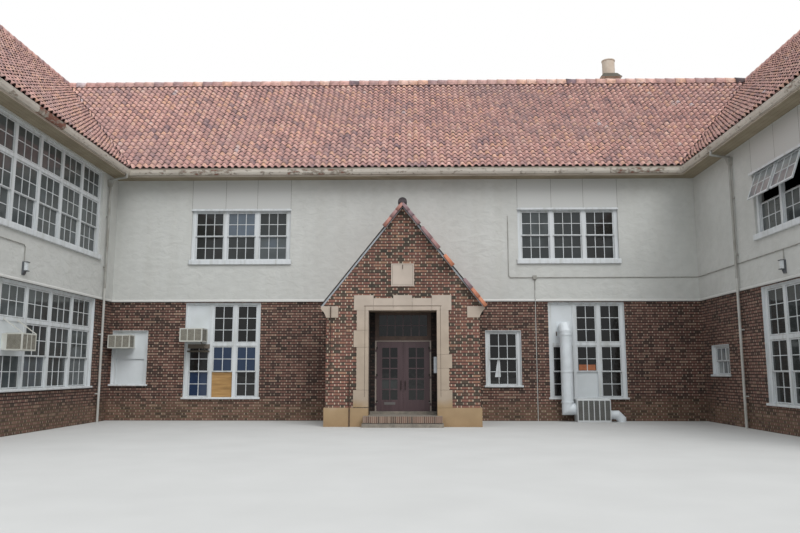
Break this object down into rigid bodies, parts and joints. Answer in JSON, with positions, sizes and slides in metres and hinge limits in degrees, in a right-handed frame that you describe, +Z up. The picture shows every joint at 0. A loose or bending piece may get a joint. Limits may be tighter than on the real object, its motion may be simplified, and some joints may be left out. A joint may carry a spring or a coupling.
{
  "type": "school building",
  "caption": "Two-storey brick and stucco school round a courtyard, with a tiled hip and valley roof, a gabled brick porch and double entrance doors that swing.",
  "frame": {"origin": "on the ground under the brick face of the courtyard wall, midway between the wings, in the underside of the vestibule floor", "axes": "+X runs right along the courtyard wall, +Y into the building, +Z up"},
  "size_m": [37.02, 19.6, 14.47],
  "materials": {
    "brick": "Flemish bond brick, matt",
    "stucco": "hand-trowelled stucco",
    "floor": "plain slab",
    "roof_tile": "mottled clay tile",
    "painted_wood": "white gloss paint",
    "cast_stone": "fine cast stone",
    "concrete": "trowelled concrete",
    "painted_metal": "peeling cream paint",
    "glass": "clear sheet",
    "flashing": "weathered grey sheet",
    "frame_wood": "brown paint",
    "door_wood": "mauve-brown paint",
    "plywood": "bare orange plywood",
    "bronze": "dark bronze"
  },
  "bodies": {
    "building": {"front_walls_lower": "brick", "front_wall_over_hall_door": "brick", "left_wing_wall_lower": "brick", "right_wing_wall_lower": "brick", "wing_end_walls_lower": "brick", "outer_walls_lower": "brick", "back_wall_lower": "brick", "porch_walls_front": "brick", "porch_gable": "brick", "porch_side_walls": "brick", "recess_walls": "brick", "front_wall_upper": "stucco", "left_wing_wall_upper": "stucco", "right_wing_wall_upper": "stucco", "wing_end_walls_upper": "stucco", "outer_walls_upper": "stucco", "back_wall_upper": "stucco", "ground_floor": "floor", "upper_floor": "floor", "attic_floor": "floor", "porch_ceiling": "floor", "ridge_caps": "roof_tile", "roof_front": "roof_tile", "roof_back": "roof_tile", "roof_wing_inner": "roof_tile", "roof_wing_outer": "roof_tile", "roof_wing_ends": "roof_tile", "porch_roof": "roof_tile", "eaves_boards": "painted_wood", "windows_front": "painted_wood", "windows_wings": "painted_wood", "windows_outside": "painted_wood", "open_sashes": "painted_wood", "window_boards": "painted_wood", "door_surround": "cast_stone", "porch_stones": "cast_stone", "entrance_landing": "concrete", "vestibule_floor": "concrete", "gutters": "painted_metal", "window_glass": "glass", "transom_glass": "glass", "rake_flashing": "flashing", "door_frame": "frame_wood", "door_hinges": "bronze", "plywood_boards": "plywood", "downspouts": "painted_metal", "window_coolers": "painted_metal", "ground_unit": "painted_metal", "unit_ducts": "painted_metal", "roof_vent": "painted_metal", "wall_lamps": "bronze", "lamp_glass": "glass", "wall_conduits": "painted_metal"},
    "door_left": {"door_left": "door_wood", "door_left_glass": "glass", "door_left_fittings": "bronze"},
    "door_right": {"door_right": "door_wood", "door_right_glass": "glass", "door_right_fittings": "bronze"}
  },
  "joints": [
    {"name": "door_left_hinge", "type": "hinge", "parent": "building", "child": "door_left", "pos_m": [-0.82, -1.809, 1.46], "axis": [0, 0, -1], "range_deg": [0, 90]},
    {"name": "door_right_hinge", "type": "hinge", "parent": "building", "child": "door_right", "pos_m": [0.82, -1.809, 1.46], "axis": [0, 0, 1], "range_deg": [0, 90]}
  ]
}
